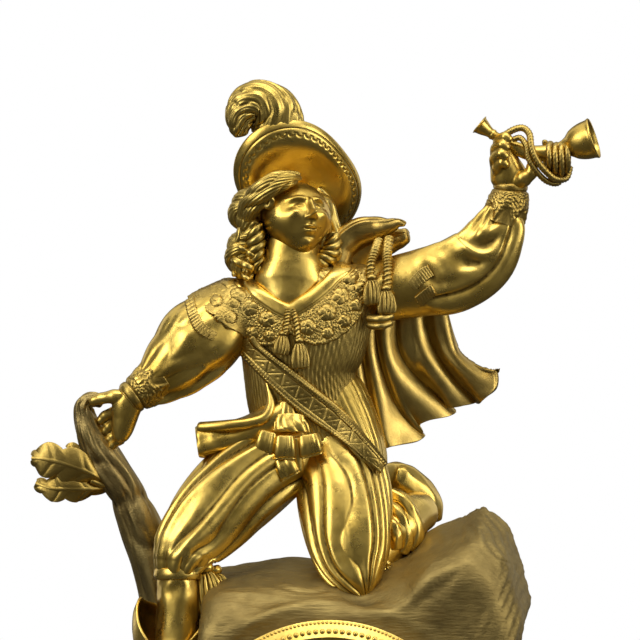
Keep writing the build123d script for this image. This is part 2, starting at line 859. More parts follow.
with BuildPart() as baldric:
    add(limb(grown(doublet_shares, sash_thickness)))
    add(doublet_part, mode=Mode.SUBTRACT)
    add(outline_slab(sash_outline_shares, figure_height), mode=Mode.INTERSECT)
    add(collar_part, mode=Mode.SUBTRACT)
    add(coat_skirts.part, mode=Mode.SUBTRACT)
    add(right_sleeve_part, mode=Mode.SUBTRACT)
    add(right_breeches_part, mode=Mode.SUBTRACT)
    add(left_breeches_part, mode=Mode.SUBTRACT)
baldric_part = largest(baldric.part)

with BuildPart() as waist_bow:
    add(limb(bow_shares))
    add(limb(bow_tail_shares))
    add(doublet_part, mode=Mode.SUBTRACT)
    add(baldric_part, mode=Mode.SUBTRACT)
    add(coat_skirts.part, mode=Mode.SUBTRACT)
    add(right_breeches_part, mode=Mode.SUBTRACT)
    add(left_breeches_part, mode=Mode.SUBTRACT)
bow_part = largest(waist_bow.part)

with BuildPart() as cord_tassels:
    add(limb(left_collar_tassel_shares))
    add(limb(right_collar_tassel_shares))
    add(limb(shoulder_tassel_shares))
    add(doublet_part, mode=Mode.SUBTRACT)
    add(collar_part, mode=Mode.SUBTRACT)
    add(baldric_part, mode=Mode.SUBTRACT)
    add(left_sleeve_part, mode=Mode.SUBTRACT)

with BuildPart() as cloak:
    loft(sections=[cloak_section(*station) for station in cloak_station_shares], ruled=True)
    add(limb(cloak_roll_shares))
    add(doublet_part, mode=Mode.SUBTRACT)
    add(left_sleeve_part, mode=Mode.SUBTRACT)
    add(coat_skirts.part, mode=Mode.SUBTRACT)
    add(left_breeches_part, mode=Mode.SUBTRACT)
    add(collar_part, mode=Mode.SUBTRACT)
    add(head_part, mode=Mode.SUBTRACT)
    add(hair.part, mode=Mode.SUBTRACT)
    add(hat_part, mode=Mode.SUBTRACT)
cloak_part = largest(cloak.part)

# Bolts that hold the figure to the rock, through the boot and through the knee
bolt_radius = 2.0
bolt_length = 34.0
bolt_head_radius = 4.0
bolt_head_height = 3.0
boot_bolt_share = (-0.326, -0.090)
knee_bolt_share = (0.078, -0.078)
knee_seat_z = 174.0
bolt_seat_clearance = 0.4


def bolt(place_share, seat_z):
    """A hexagon-headed bolt that stands upright, its head under a seat."""
    x, y = place_share[0] * figure_height, place_share[1] * figure_height
    with BuildPart() as shank:
        with BuildSketch(Plane.XY.offset(seat_z)):
            with Locations((x, y)):
                Circle(bolt_radius)
        extrude(amount=bolt_length)
        with BuildSketch(Plane.XY.offset(seat_z - bolt_head_height)):
            with Locations((x, y)):
                RegularPolygon(bolt_head_radius, side_count=6)
        extrude(amount=bolt_head_height)
    return shank.part


with BuildPart() as figure_bolts:
    add(bolt(boot_bolt_share, core_top_z))
    add(bolt(knee_bolt_share, knee_seat_z))
bolts_part = figure_bolts.part

with BuildPart() as drilled_boot:
    add(right_boot_part)
    add(bolts_part, mode=Mode.SUBTRACT)

with BuildPart() as drilled_breeches:
    add(left_breeches_part)
    add(bolts_part, mode=Mode.SUBTRACT)

# Screws that hold the case on the plinth, and tenons that hold the feet
screw_x = 97.0
screw_y = 20.0
screw_radius = 2.0
screw_bite = 12.0  # length of thread in the case
screw_head_radius = 4.0
screw_head_height = 2.6
screw_recess = 5.0
screw_clearance = 0.15
tenon_radius = 2.5
tenon_height = 8.0
tenon_inset = 8.0

screw_places = [(a * screw_x, b * screw_y) for a in (-1, 1) for b in (-1, 1)]
tenon_places = [
    (a * (foot_x - tenon_inset), b * (foot_y - foot_width / 2)) for a in (-1, 1) for b in (-1, 1)
]

with BuildPart() as base_screws:
    with BuildSketch(Plane.XY.offset(plinth_z + screw_recess)):
        with Locations(*screw_places):
            Circle(screw_radius)
    extrude(amount=plinth_height - screw_recess + screw_bite)
    with BuildSketch(Plane.XY.offset(plinth_z + screw_recess - screw_head_height)):
        with Locations(*screw_places):
            Circle(screw_head_radius)
    extrude(amount=screw_head_height)

with BuildPart() as footed_plinth:
    add(plinth.part)
    with BuildSketch(Plane.XY.offset(plinth_z)):
        with Locations(*screw_places):
            Circle(screw_radius + screw_clearance)
    extrude(amount=plinth_height, mode=Mode.SUBTRACT)
    with BuildSketch(Plane.XY.offset(plinth_z)):
        with Locations(*screw_places):
            Circle(screw_head_radius + screw_clearance)
    extrude(amount=screw_recess, mode=Mode.SUBTRACT)
    with BuildSketch(Plane.XY.offset(plinth_z)):
        with Locations(*tenon_places):
            Circle(tenon_radius)
    extrude(amount=tenon_height, mode=Mode.SUBTRACT)

with BuildPart() as tenoned_feet:
    add(scroll_feet.part)
    with BuildSketch(Plane.XY.offset(foot_height)):
        with Locations(*tenon_places):
            Circle(tenon_radius)
    extrude(amount=tenon_height)

with BuildPart() as drilled_rock:
    add(rock_part)
    add(base_screws.part, mode=Mode.SUBTRACT)
    add(bolts_part, mode=Mode.SUBTRACT)
    with BuildSketch(Plane.XY.offset(knee_seat_z)):
        with Locations((knee_bolt_share[0] * figure_height, knee_bolt_share[1] * figure_height)):
            Circle(bolt_head_radius + bolt_seat_clearance)
    extrude(amount=-core_radius / 2, mode=Mode.SUBTRACT)

# Movement: the places of the arbors about the dial axis, from the wheels that mesh
train_teeth = 48
pinion_leaves = 8
centre_module = 0.5
third_module = 0.4375
intermediate_module = 0.675
barrel_module = 0.75
motion_module = 0.48
cannon_leaves = 10
minute_teeth = 30
minute_leaves = 8
hour_teeth = 32
escape_teeth = 30
escape_radius = 7.0
third_angle = 60.0
intermediate_angle = 164.7
barrel_angle = 267.9
anchor_rise = 9.5  # from the escape arbor up to the anchor arbor


def mesh_distance(module, teeth, leaves):
    """The distance between the centres of a wheel and a pinion that mesh."""
    return module * (teeth + leaves) / 2


def beside(centre, distance, angle):
    """The place at a distance and an angle from another, in the front view."""
    turn = math.radians(angle)
    return (centre[0] + distance * math.cos(turn), centre[1] + distance * math.sin(turn))


def mirrored(place):
    """The same place on the other side of the dial axis."""
    return (2 * dial_x - place[0], place[1])


centre = (dial_x, dial_z)
third = beside(centre, mesh_distance(centre_module, train_teeth, pinion_leaves), third_angle)
third_reach = mesh_distance(third_module, train_teeth, pinion_leaves)
escape = (dial_x, third[1] + math.sqrt(third_reach**2 - (third[0] - dial_x) ** 2))
anchor_place = (dial_x, escape[1] + anchor_rise)
intermediate = beside(
    centre, mesh_distance(intermediate_module, train_teeth, pinion_leaves), intermediate_angle
)
going = beside(
    intermediate, mesh_distance(barrel_module, train_teeth, pinion_leaves), barrel_angle
)
strike_wheel_place = mirrored(intermediate)
strike = mirrored(going)
minute_place = (dial_x, dial_z - mesh_distance(motion_module, minute_teeth, cannon_leaves))


def angle_from(first, second):
    """The direction from one place to another, in the front view."""
    return math.degrees(math.atan2(second[1] - first[1], second[0] - first[0]))


# Movement: planes along the depth, from the case's front face
plate_radius = 44.0
plate_thickness = 2.0
plate_setback = 3.0  # from the case's front face to the front plate
plate_gap = 32.0
front_plate_y = case_front_y + plate_setback
inside_y = front_plate_y + plate_thickness
back_inside_y = inside_y + plate_gap
back_plate_y = back_inside_y + plate_thickness
arbor_radius = 1.0
pivot_radius = 0.6
pivot_past = 0.2  # how far a pivot ends short of the plate's outer face
centre_arbor_radius = 1.2
winding_radius = 2.0
winding_square = 2.8
pillar_radius = 2.0
top_pillar_radius = 40.0
top_pillar_angle = 53.0
tooth_root_share = 0.25
tooth_tip_share = 0.1
addendum_share = 0.75
dedendum_share = 1.1


def turned(place, steps):
    """Round steps on one axis along the depth; each is (start, end, radius)."""
    with BuildPart() as rod:
        for start_y, end_y, radius in steps:
            with BuildSketch(Plane.XZ.offset(-start_y)):
                with Locations(place):
                    Circle(radius)
            extrude(amount=start_y - end_y)
    return rod.part


def toothed(place, teeth, module, start_y, end_y, pointing):
    """A spur wheel with straight-flanked teeth, one of them at the given angle."""
    pitch_radius = module * teeth / 2
    root_radius = pitch_radius - dedendum_share * module
    tip_radius = pitch_radius + addendum_share * module
    corners = []
    for i in range(teeth):
        for radius, share in (
            (root_radius, -tooth_root_share),
            (tip_radius, -tooth_tip_share),
            (tip_radius, tooth_tip_share),
            (root_radius, tooth_root_share),
        ):
            corners.append(beside(place, radius, pointing + (i + share) * 360 / teeth))
    with BuildPart() as wheel:
        with BuildSketch(Plane.XZ.offset(-start_y)):
            with BuildLine():
                Polyline(*corners, close=True)
            make_face()
        extrude(amount=start_y - end_y)
    return wheel.part


def meeting(place, other, teeth):
    """The angle of a tooth where a gap faces the mate's tooth on the line of centres."""
    return angle_from(place, other) + 180 / teeth


def pivoted(place):
    """A plain arbor between the plates, with a pivot in each."""
    return turned(
        place,
        [
            (front_plate_y + pivot_past, inside_y + end_shake, pivot_radius),
            (inside_y + end_shake, back_inside_y - end_shake, arbor_radius),
            (back_inside_y - end_shake, back_plate_y - pivot_past, pivot_radius),
        ],
    )


# Planes of the wheels, behind the inside of the front plate
centre_pinion_span = (3.5, 6.5)
intermediate_wheel_span = (4.5, 5.7)
strike_wheel_span = (7.5, 8.5)
escape_wheel_span = (3.0, 4.0)
anchor_span = (2.8, 4.2)
barrel_span = (10.0, 24.5)
great_wheel_span = (24.5, 26.0)
barrel_pinion_span = (23.5, 27.0)
third_wheel_span = (20.0, 21.0)
escape_pinion_span = (19.0, 22.0)
third_pinion_span = (27.5, 30.5)
centre_wheel_span = (28.5, 29.5)


def span(pair):
    """A wheel's start and end along the depth."""
    return (inside_y + pair[0], inside_y + pair[1])


# Dial, hands and motion work, forward of the front plate
dial_standoff = 5.5
dial_thickness = 1.5
dial_back_y = front_plate_y - dial_standoff
dial_front_y = dial_back_y - dial_thickness
dial_hole_radius = 4.0
dial_foot_radius = 1.0
dial_foot_place_radius = 38.0
dial_foot_angles = (60.0, 180.0, 300.0)
hand_gap = 1.0
hand_thickness = 0.6
hour_hand_y = dial_front_y - hand_gap
minute_hand_y = hour_hand_y - hand_thickness - hand_gap
hour_hand_length = 29.0
minute_hand_length = 43.0
hour_hand_angle = 145.0  # ten minutes past ten
minute_hand_angle = 30.0
hour_hub_radius = 4.6
minute_hub_radius = 3.6
hand_root_width = 1.6
hand_belly_width = 4.4
hand_belly_share = 0.72
nut_radius = 2.4
nut_height = 1.2
cannon_pipe_radius = 2.1
hour_pipe_radius = 3.0
cannon_pinion_span = (-2.9, -1.2)  # from the front plate's outer face
minute_wheel_span = (-2.4, -1.6)
minute_pinion_span = (-4.8, -2.4)
hour_wheel_span = (-4.6, -3.8)
minute_stud_radius = 0.8
minute_stud_length = 5.0

# Frame, glass and door around the dial
frame_radius = 66.0
frame_thickness = 4.0
dial_seat_width = 5.3
dial_play = 0.3
drum_radius = 46.0
drum_wall = 1.6
flange_radius = 54.0
flange_thickness = 1.0
rod_radius = 1.2
rod_place_radius = 47.9
rod_clearance = 0.3
door_gap = 0.3
door_depth = 8.9
door_edge_depth = 3.7
door_lip_radius = 56.5
door_lip_depth = 1.7
door_crest_radius = 60.0
glass_radius = 59.0
glass_thickness = 1.5
hinge_offset = 4.5
hinge_knuckle_radius = 2.6
hinge_pin_radius = 1.2
hinge_half_length = 9.0
hinge_knuckle_gap = 0.2
hinge_middle = 4.0
frame_front_y = case_front_y - frame_thickness
flange_y = case_front_y - flange_thickness
door_back_y = frame_front_y - door_gap
door_front_y = door_back_y - door_depth
glass_front_y = door_front_y + door_lip_depth
hinge_x = dial_x + bezel_radius + hinge_offset
hinge_y = door_back_y - hinge_knuckle_radius


def ring(place, outer_radius, inner_radius, start_y, end_y):
    """A flat ring on an axis along the depth."""
    with BuildPart() as hoop:
        with BuildSketch(Plane.XZ.offset(-start_y)):
            with Locations(place):
                Circle(outer_radius)
                Circle(inner_radius, mode=Mode.SUBTRACT)
        extrude(amount=start_y - end_y)
    return hoop.part


def block(left_x, right_x, start_y, end_y, bottom_z, top_z):
    """A rectangular block between six faces."""
    with BuildPart() as solid:
        with BuildSketch(Plane.XY.offset(bottom_z)):
            with Locations(((left_x + right_x) / 2, (start_y + end_y) / 2)):
                Rectangle(right_x - left_x, end_y - start_y)
        extrude(amount=top_z - bottom_z)
    return solid.part


def upright(x, y, radius, bottom_z, top_z):
    """A round upright."""
    with BuildPart() as post:
        with BuildSketch(Plane.XY.offset(bottom_z)):
            with Locations((x, y)):
                Circle(radius)
        extrude(amount=top_z - bottom_z)
    return post.part


def hand(length, hub_radius, bore_radius, y, angle):
    """A leaf-shaped hand with a round hub, pointing at an angle in the front view."""
    outline = (
        (hub_radius / 2, hand_root_width / 2),
        (length * hand_belly_share, hand_belly_width / 2),
        (length, 0),
        (length * hand_belly_share, -hand_belly_width / 2),
        (hub_radius / 2, -hand_root_width / 2),
    )
    corners = [beside(beside(centre, along, angle), aside, angle + 90) for along, aside in outline]
    with BuildPart() as pointer:
        with BuildSketch(Plane.XZ.offset(-y)):
            with BuildLine():
                Polyline(*corners, close=True)
            make_face()
            with Locations(centre):
                Circle(hub_radius)
                Circle(bore_radius, mode=Mode.SUBTRACT)
        extrude(amount=hand_thickness)
    return pointer.part


# Front frame: a seat for the dial, and two knuckles with the hinge pin at the right
frame_knuckles = (
    (hinge_middle + hinge_knuckle_gap, hinge_half_length),
    (-hinge_half_length, -hinge_middle - hinge_knuckle_gap),
)
with BuildPart() as front_frame:
    add(ring(centre, frame_radius, flange_radius, frame_front_y, case_front_y))
    add(ring(centre, flange_radius, dial_radius + dial_play, frame_front_y, flange_y))
    add(ring(centre, dial_radius + dial_play, dial_radius - dial_seat_width, dial_back_y, flange_y))
    for bottom, top in frame_knuckles:
        add(
            block(
                hinge_x - hinge_knuckle_radius,
                hinge_x + hinge_knuckle_radius,
                hinge_y,
                case_front_y,
                dial_z + bottom,
                dial_z + top,
            )
        )
        add(
            block(
                dial_x + frame_radius - hinge_offset,
                hinge_x,
                frame_front_y,
                case_front_y,
                dial_z + bottom,
                dial_z + top,
            )
        )
        add(upright(hinge_x, hinge_y, hinge_knuckle_radius, dial_z + bottom, dial_z + top))
    add(
        upright(
            hinge_x, hinge_y, hinge_pin_radius, dial_z - hinge_half_length, dial_z + hinge_half_length
        )
    )
    for side in (-1, 1):
        add(
            turned(
                (dial_x + side * rod_place_radius, dial_z),
                [(dial_back_y - cut_overrun, flange_y + cut_overrun, rod_radius)],
            ),
            mode=Mode.SUBTRACT,
        )

# Bezel door: a turned ring with a glass, and a knuckle between the frame's two
with BuildPart() as bezel_door:
    with BuildSketch(Plane(origin=(dial_x, 0, dial_z), x_dir=(1, 0, 0), z_dir=(0, 0, 1))):
        with BuildLine():
            Polyline(
                (door_lip_radius, door_front_y + door_lip_depth / 2),
                (door_crest_radius, door_front_y),
                (bezel_radius, door_back_y - door_edge_depth),
                (bezel_radius, door_back_y),
                (glass_radius + dial_play, door_back_y),
                (glass_radius + dial_play, glass_front_y),
                (door_lip_radius, glass_front_y),
                close=True,
            )
        make_face()
    revolve(axis=Axis((dial_x, 0, dial_z), (0, 1, 0)))
    add(
        block(
            dial_x + bezel_radius - hinge_offset,
            hinge_x,
            hinge_y - hinge_knuckle_radius,
            door_back_y,
            dial_z - hinge_middle,
            dial_z + hinge_middle,
        )
    )
    add(upright(hinge_x, hinge_y, hinge_knuckle_radius, dial_z - hinge_middle, dial_z + hinge_middle))
    add(
        upright(
            hinge_x,
            hinge_y,
            hinge_pin_radius + running_gap,
            dial_z - hinge_half_length,
            dial_z + hinge_half_length,
        ),
        mode=Mode.SUBTRACT,
    )

with BuildPart() as glass:
    add(turned(centre, [(glass_front_y, glass_front_y + glass_thickness, glass_radius)]))

with BuildPart() as dial:
    add(turned(centre, [(dial_front_y, dial_back_y, dial_radius)]))
    for angle in dial_foot_angles:
        foot_place = beside(centre, dial_foot_place_radius, angle)
        add(turned(foot_place, [(dial_back_y, front_plate_y, dial_foot_radius)]))
    for place in (centre, going, strike):
        add(
            turned(place, [(dial_front_y - cut_overrun, dial_back_y, dial_hole_radius)]),
            mode=Mode.SUBTRACT,
        )

with BuildPart() as hour_hand:
    add(hand(hour_hand_length, hour_hub_radius, hour_pipe_radius, hour_hand_y, hour_hand_angle))

with BuildPart() as minute_hand:
    add(
        hand(
            minute_hand_length, minute_hub_radius, cannon_pipe_radius, minute_hand_y, minute_hand_angle
        )
    )

nut_front_y = minute_hand_y - hand_thickness - nut_height
with BuildPart() as hand_nut:
    add(turned(centre, [(nut_front_y, minute_hand_y - hand_thickness, nut_radius)]))
    add(
        turned(centre, [(nut_front_y - cut_overrun, minute_hand_y, centre_arbor_radius)]),
        mode=Mode.SUBTRACT,
    )

# Drum that carries the movement in the case's bore
with BuildPart() as drum:
    add(ring(centre, drum_radius, drum_radius - drum_wall, flange_y, back_plate_y))
    add(ring(centre, flange_radius, drum_radius, flange_y, case_front_y))
    for side in (-1, 1):
        add(
            turned(
                (dial_x + side * rod_place_radius, dial_z),
                [(flange_y - cut_overrun, case_front_y + cut_overrun, rod_radius + rod_clearance)],
            ),
            mode=Mode.SUBTRACT,
        )

# Strike work behind the back plate: the hammer's arbor and the bell's stand
hammer_distance = 38.1
hammer_angle = -4.5
hammer_head_angle = 16.5
hammer_gap = 0.5
hammer_head_radius = 2.5
hammer_head_length = 9.0
hammer_arm_width = 2.4
hammer_arm_thickness = 3.0
hammer_setback = 24.0  # from the back plate to the hammer's arm
bell_radius = 30.0
bell_depth = 16.0
bell_wall = 1.6
bell_setback = 22.0  # from the back plate to the bell's rim
bell_crown_radius = 9.0
bell_stand_distance = 37.0
bell_post_radius = 2.5
bell_arm_width = 6.0
bell_arm_thickness = 2.5
bell_screw_radius = 1.5
bell_screw_head_radius = 3.0
bell_screw_head_height = 2.0
hammer_place = beside(centre, hammer_distance, hammer_angle)
stand_place = (dial_x - bell_stand_distance, dial_z)
bell_rim_y = back_plate_y + bell_setback
bell_crown_y = bell_rim_y + bell_depth
hammer_arm_y = back_plate_y + hammer_setback

# Plates: the front one has the pillars and the minute wheel's stud
pillar_places = [
    beside(centre, top_pillar_radius, top_pillar_angle),
    beside(centre, top_pillar_radius, 180 - top_pillar_angle),
    beside(centre, top_pillar_radius, 270),
]
plain_places = [third, escape, intermediate, strike_wheel_place]


def bored(places, radius, start_y, end_y):
    """Round holes along the depth, as one cutting tool."""
    with BuildPart() as tool:
        with BuildSketch(Plane.XZ.offset(-start_y + cut_overrun)):
            with Locations(*places):
                Circle(radius)
        extrude(amount=start_y - end_y - 2 * cut_overrun)
    return tool.part


pivot_holes = [*plain_places, anchor_place, hammer_place]
with BuildPart() as front_plate:
    add(turned(centre, [(front_plate_y, inside_y, plate_radius)]))
    for place in pillar_places:
        add(turned(place, [(inside_y, back_inside_y, pillar_radius)]))
    add(bored(pivot_holes, pivot_radius + running_gap, front_plate_y, inside_y), mode=Mode.SUBTRACT)
    add(
        bored([going, strike], winding_radius + running_gap, front_plate_y, inside_y),
        mode=Mode.SUBTRACT,
    )
    add(
        bored([centre], centre_arbor_radius + running_gap, front_plate_y, inside_y),
        mode=Mode.SUBTRACT,
    )
    add(
        turned(
            minute_place, [(front_plate_y - minute_stud_length, front_plate_y, minute_stud_radius)]
        )
    )

crutch_hole_radius = 1.4
with BuildPart() as back_plate:
    add(turned(centre, [(back_inside_y, back_plate_y, plate_radius)]))
    add(
        bored([*plain_places, centre], pivot_radius + running_gap, back_inside_y, back_plate_y),
        mode=Mode.SUBTRACT,
    )
    add(
        bored([going, strike], winding_radius + running_gap, back_inside_y, back_plate_y),
        mode=Mode.SUBTRACT,
    )
    add(
        bored([hammer_place], arbor_radius + running_gap, back_inside_y, back_plate_y),
        mode=Mode.SUBTRACT,
    )
    add(
        bored([anchor_place], crutch_hole_radius, back_inside_y, back_plate_y), mode=Mode.SUBTRACT
    )

# Going train
with BuildPart() as centre_arbor:
    add(
        turned(
            centre,
            [
                (nut_front_y, back_inside_y - end_shake, centre_arbor_radius),
                (back_inside_y - end_shake, back_plate_y - pivot_past, pivot_radius),
            ],
        )
    )
    add(
        toothed(
            centre,
            pinion_leaves,
            intermediate_module,
            *span(centre_pinion_span),
            angle_from(centre, intermediate),
        )
    )
    add(
        toothed(
            centre, train_teeth, centre_module, *span(centre_wheel_span), angle_from(centre, third)
        )
    )

with BuildPart() as third_arbor:
    add(pivoted(third))
    add(
        toothed(
            third,
            pinion_leaves,
            centre_module,
            *span(third_pinion_span),
            meeting(third, centre, pinion_leaves),
        )
    )
    add(
        toothed(
            third, train_teeth, third_module, *span(third_wheel_span), angle_from(third, escape)
        )
    )

escape_root_share = 0.8
with BuildPart() as escape_arbor:
    add(pivoted(escape))
    add(
        toothed(
            escape,
            pinion_leaves,
            third_module,
            *span(escape_pinion_span),
            meeting(escape, third, pinion_leaves),
        )
    )
    with BuildSketch(Plane.XZ.offset(-inside_y - escape_wheel_span[0])):
        with BuildLine():
            Polyline(
                *[
                    beside(
                        escape,
                        escape_radius * (1 if i % 2 == 0 else escape_root_share),
                        i * 180 / escape_teeth,
                    )
                    for i in range(2 * escape_teeth)
                ],
                close=True,
            )
        make_face()
    extrude(amount=escape_wheel_span[0] - escape_wheel_span[1])

with BuildPart() as intermediate_arbor:
    add(pivoted(intermediate))
    add(
        toothed(
            intermediate,
            train_teeth,
            intermediate_module,
            *span(intermediate_wheel_span),
            meeting(intermediate, centre, train_teeth),
        )
    )
    add(
        toothed(
            intermediate,
            pinion_leaves,
            barrel_module,
            *span(barrel_pinion_span),
            angle_from(intermediate, going),
        )
    )

with BuildPart() as strike_pin_wheel:
    add(pivoted(strike_wheel_place))
    add(
        toothed(
            strike_wheel_place, train_teeth, third_module, *span(strike_wheel_span), 0
        )
    )
    add(
        toothed(
            strike_wheel_place,
            pinion_leaves,
            barrel_module,
            *span(barrel_pinion_span),
            angle_from(strike_wheel_place, strike),
        )
    )

barrel_radius = 17.0
barrel_wall = 1.5


def spring_barrel(place, pinion_place):
    """A hollow drum with its great wheel, free to turn on the winding arbor."""
    start_y, end_y = span(barrel_span)
    wheel_end_y = span(great_wheel_span)[1]
    with BuildPart() as barrel:
        add(turned(place, [(start_y, end_y, barrel_radius)]))
        add(
            toothed(
                place,
                train_teeth,
                barrel_module,
                *span(great_wheel_span),
                meeting(place, pinion_place, train_teeth),
            )
        )
        add(
            turned(place, [(start_y + barrel_wall, end_y - barrel_wall, barrel_radius - barrel_wall)]),
            mode=Mode.SUBTRACT,
        )
        add(bored([place], winding_radius + running_gap, start_y, wheel_end_y), mode=Mode.SUBTRACT)
    return barrel.part


def winding_arbor(place):
    """The arbor that winds a barrel: round between the plates, square behind the dial."""
    with BuildPart() as winder:
        add(turned(place, [(front_plate_y, back_plate_y - pivot_past, winding_radius)]))
        with BuildSketch(Plane.XZ.offset(-dial_back_y)):
            with Locations(place):
                Rectangle(winding_square, winding_square)
        extrude(amount=dial_back_y - front_plate_y)
    return winder.part


# Anchor with its crutch, and the pendulum that it follows
anchor_half_angle = 44.0
anchor_width = 1.6
pallet_clearance = 0.65
anchor_hub_radius = 2.0
crutch_setback = 1.5  # behind the back plate
crutch_thickness = 1.5
crutch_length = 16.0
crutch_width = 2.4
prong_radius = 0.8
prong_gap = 0.3
prong_length = 13.5
cock_bridge_setback = 5.0
cock_thickness = 2.0
cock_half_width = 13.0
cock_leg_width = 3.0
cock_height = 6.0
stud_length = 8.5
stud_collar_radius = 1.8
stud_collar_length = 0.7
pendulum_eye_radius = 2.4
pendulum_setback = 11.0
pendulum_eye_length = 3.5
rod_wire_radius = 0.9
pendulum_length = 95.7
bob_radius = 13.0
bob_thickness = 6.5
pendulum_tail = 16.0
rating_nut_radius = 2.5
rating_nut_height = 1.6
cock_y = back_plate_y + cock_bridge_setback
crutch_y = back_plate_y + crutch_setback
pendulum_y = back_plate_y + pendulum_setback
eye_middle_y = pendulum_y + pendulum_eye_length / 2

with BuildPart() as anchor:
    add(
        turned(
            anchor_place,
            [
                (front_plate_y + pivot_past, inside_y + end_shake, pivot_radius),
                (inside_y + end_shake, cock_y - end_shake, arbor_radius),
                (cock_y - end_shake, cock_y + cock_thickness - pivot_past, pivot_radius),
            ],
        )
    )
    add(turned(anchor_place, [(*span(anchor_span), anchor_hub_radius)]))
    inner_radius = escape_radius + pallet_clearance
    with BuildSketch(Plane.XZ.offset(-inside_y - anchor_span[0])):
        with BuildLine():
            inner = CenterArc(escape, inner_radius, 90 - anchor_half_angle, 2 * anchor_half_angle)
            outer = CenterArc(
                escape, inner_radius + anchor_width, 90 - anchor_half_angle, 2 * anchor_half_angle
            )
            Line(inner @ 0, outer @ 0)
            Line(inner @ 1, outer @ 1)
        make_face()
    extrude(amount=anchor_span[0] - anchor_span[1])
    add(
        turned(
            anchor_place, [(crutch_y, crutch_y + crutch_thickness, anchor_hub_radius)]
        )
    )
    prong_x = rod_wire_radius + prong_gap + prong_radius
    prong_z = anchor_place[1] - crutch_length
    add(
        block(
            dial_x - crutch_width / 2,
            dial_x + crutch_width / 2,
            crutch_y,
            crutch_y + crutch_thickness,
            prong_z,
            anchor_place[1],
        )
    )
    add(
        block(
            dial_x - prong_x - prong_radius,
            dial_x + prong_x + prong_radius,
            crutch_y,
            crutch_y + crutch_thickness,
            prong_z - prong_radius,
            prong_z + prong_radius,
        )
    )
    for side in (-1, 1):
        add(
            turned(
                (dial_x + side * prong_x, prong_z), [(crutch_y, crutch_y + prong_length, prong_radius)]
            )
        )

with BuildPart() as back_cock:
    add(
        block(
            dial_x - cock_half_width,
            dial_x + cock_half_width,
            cock_y,
            cock_y + cock_thickness,
            anchor_place[1] - cock_height / 2,
            anchor_place[1] + cock_height / 2,
        )
    )
    for side in (-1, 1):
        middle_x = dial_x + side * (cock_half_width - cock_leg_width / 2)
        add(
            block(
                middle_x - cock_leg_width / 2,
                middle_x + cock_leg_width / 2,
                back_plate_y,
                cock_y,
                anchor_place[1] - cock_height / 2,
                anchor_place[1] + cock_height / 2,
            )
        )
    add(
        turned(
            anchor_place,
            [(cock_y - cut_overrun, cock_y + cock_thickness, pivot_radius + running_gap)],
        ),
        mode=Mode.SUBTRACT,
    )
    stud_y = cock_y + cock_thickness
    add(
        turned(
            anchor_place,
            [
                (stud_y, stud_y + stud_length - stud_collar_length, arbor_radius),
                (stud_y + stud_length - stud_collar_length, stud_y + stud_length, stud_collar_radius),
            ],
        )
    )

bob_z = anchor_place[1] - pendulum_length
with BuildPart() as pendulum:
    add(turned(anchor_place, [(pendulum_y, pendulum_y + pendulum_eye_length, pendulum_eye_radius)]))
    add(upright(dial_x, eye_middle_y, rod_wire_radius, bob_z - pendulum_tail, anchor_place[1]))
    add(
        turned(
            (dial_x, bob_z),
            [(eye_middle_y - bob_thickness / 2, eye_middle_y + bob_thickness / 2, bob_radius)],
        )
    )
    add(
        upright(
            dial_x,
            eye_middle_y,
            rating_nut_radius,
            bob_z - bob_radius - rating_nut_height,
            bob_z - bob_radius,
        )
    )
    add(
        bored(
            [anchor_place],
            arbor_radius + running_gap,
            pendulum_y,
            pendulum_y + pendulum_eye_length,
        ),
        mode=Mode.SUBTRACT,
    )

# Motion work
def from_front_plate(pair):
    """A start and an end along the depth, from the front plate's outer face."""
    return (front_plate_y + pair[0], front_plate_y + pair[1])


with BuildPart() as cannon_pinion:
    add(
        toothed(
            centre,
            cannon_leaves,
            motion_module,
            *from_front_plate(cannon_pinion_span),
            angle_from(centre, minute_place),
        )
    )
    add(
        turned(
            centre,
            [
                (
                    minute_hand_y - hand_thickness,
                    front_plate_y + cannon_pinion_span[0],
                    cannon_pipe_radius,
                )
            ],
        )
    )
    add(
        bored(
            [centre],
            centre_arbor_radius,
            minute_hand_y - hand_thickness,
            front_plate_y + cannon_pinion_span[1],
        ),
        mode=Mode.SUBTRACT,
    )

with BuildPart() as minute_wheel:
    add(
        toothed(
            minute_place,
            minute_teeth,
            motion_module,
            *from_front_plate(minute_wheel_span),
            meeting(minute_place, centre, minute_teeth),
        )
    )
    add(
        toothed(
            minute_place,
            minute_leaves,
            motion_module,
            *from_front_plate(minute_pinion_span),
            angle_from(minute_place, centre),
        )
    )
    add(
        bored(
            [minute_place],
            minute_stud_radius + running_gap,
            front_plate_y + minute_pinion_span[0],
            front_plate_y,
        ),
        mode=Mode.SUBTRACT,
    )

with BuildPart() as hour_wheel:
    add(
        toothed(
            centre,
            hour_teeth,
            motion_module,
            *from_front_plate(hour_wheel_span),
            meeting(centre, minute_place, hour_teeth),
        )
    )
    add(
        turned(
            centre,
            [
                (
                    hour_hand_y - hand_thickness,
                    front_plate_y + hour_wheel_span[0],
                    hour_pipe_radius,
                )
            ],
        )
    )
    add(
        bored(
            [centre],
            cannon_pipe_radius + running_gap,
            hour_hand_y - hand_thickness,
            front_plate_y + hour_wheel_span[1],
        ),
        mode=Mode.SUBTRACT,
    )

